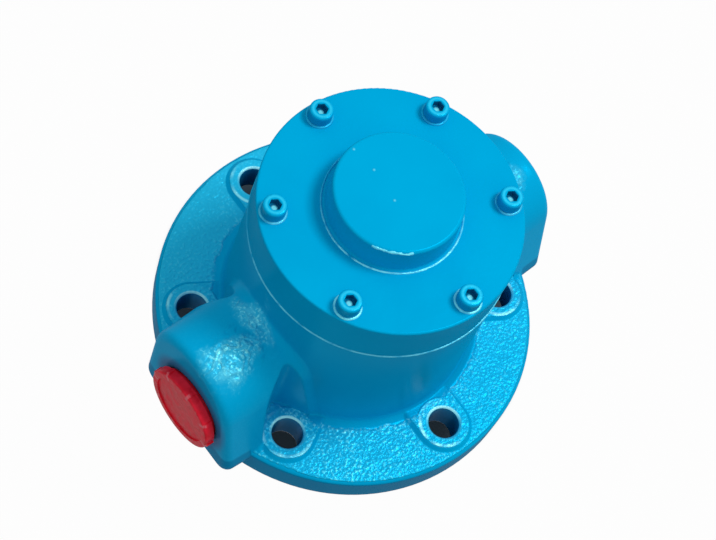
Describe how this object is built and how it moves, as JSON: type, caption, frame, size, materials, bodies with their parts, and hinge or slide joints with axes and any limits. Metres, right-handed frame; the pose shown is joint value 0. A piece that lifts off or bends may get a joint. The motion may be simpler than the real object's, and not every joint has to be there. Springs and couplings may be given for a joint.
{
  "type": "gear pump",
  "caption": "Flange-mounted internal gear pump: round barrel with a bolted bossed cover, opposed threaded ports, one closed by a red plug.",
  "frame": {"origin": "centre of the flange's mounting face, on the shaft axis", "axes": "+Z along the shaft from the flange to the cover, +X out of the open port, -X out of the plugged port"},
  "size_m": [0.2425, 0.22, 0.208],
  "materials": {
    "blue_enamel": "gloss enamel over rough casting",
    "red_plastic": "moulded, satin",
    "steel": "turned and ground",
    "gear_steel": "machined, oiled",
    "gear_iron": "machined",
    "bearing_steel": "ground and polished",
    "spring_steel": "blackened",
    "bronze": "machined",
    "seal_rubber": "matt",
    "gasket_sheet": "painted over edge"
  },
  "bodies": {
    "housing": {"casing": "blue_enamel", "cover": "blue_enamel", "cover_gasket": "gasket_sheet", "cover_screws": "blue_enamel", "cover_dowels": "steel", "idler_pin": "steel", "shaft_bush": "bronze", "thrust_washer": "bronze", "seal_case": "steel", "seal_lip": "seal_rubber", "seal_spring": "spring_steel", "bearing_outer_ring": "bearing_steel", "bearing_circlip": "spring_steel"},
    "drive": {"drive_shaft": "steel", "rotor": "gear_iron", "rotor_key": "steel", "rotor_circlip": "spring_steel", "bearing_inner_ring": "bearing_steel", "shaft_circlip": "spring_steel"},
    "idler": {"idler_gear": "gear_steel", "idler_bush": "bronze"},
    "bearing_cage": {"bearing_cage": "steel", "bearing_balls": "bearing_steel"},
    "port_plug": {"port_plug": "red_plastic"}
  },
  "joints": [
    {"name": "drive_shaft_spin", "type": "hinge", "parent": "housing", "child": "drive", "pos_m": [0, 0, 0], "axis": [0, 0, 1], "continuous": true},
    {"name": "idler_spin", "type": "hinge", "parent": "housing", "child": "idler", "pos_m": [0, 0.015, 0.08], "axis": [0, 0, 1], "continuous": true},
    {"name": "bearing_cage_spin", "type": "hinge", "parent": "housing", "child": "bearing_cage", "pos_m": [0, 0, 0.0085], "axis": [0, 0, 1], "continuous": true},
    {"name": "port_plug_pull", "type": "slide", "parent": "housing", "child": "port_plug", "axis": [-1, 0, 0], "range_m": [-0.0017, 0.03]}
  ],
  "couplings": [
    {"joint": "idler_spin", "follows": "drive_shaft_spin", "ratio": 1.5},
    {"joint": "bearing_cage_spin", "follows": "drive_shaft_spin", "ratio": 0.3969}
  ]
}
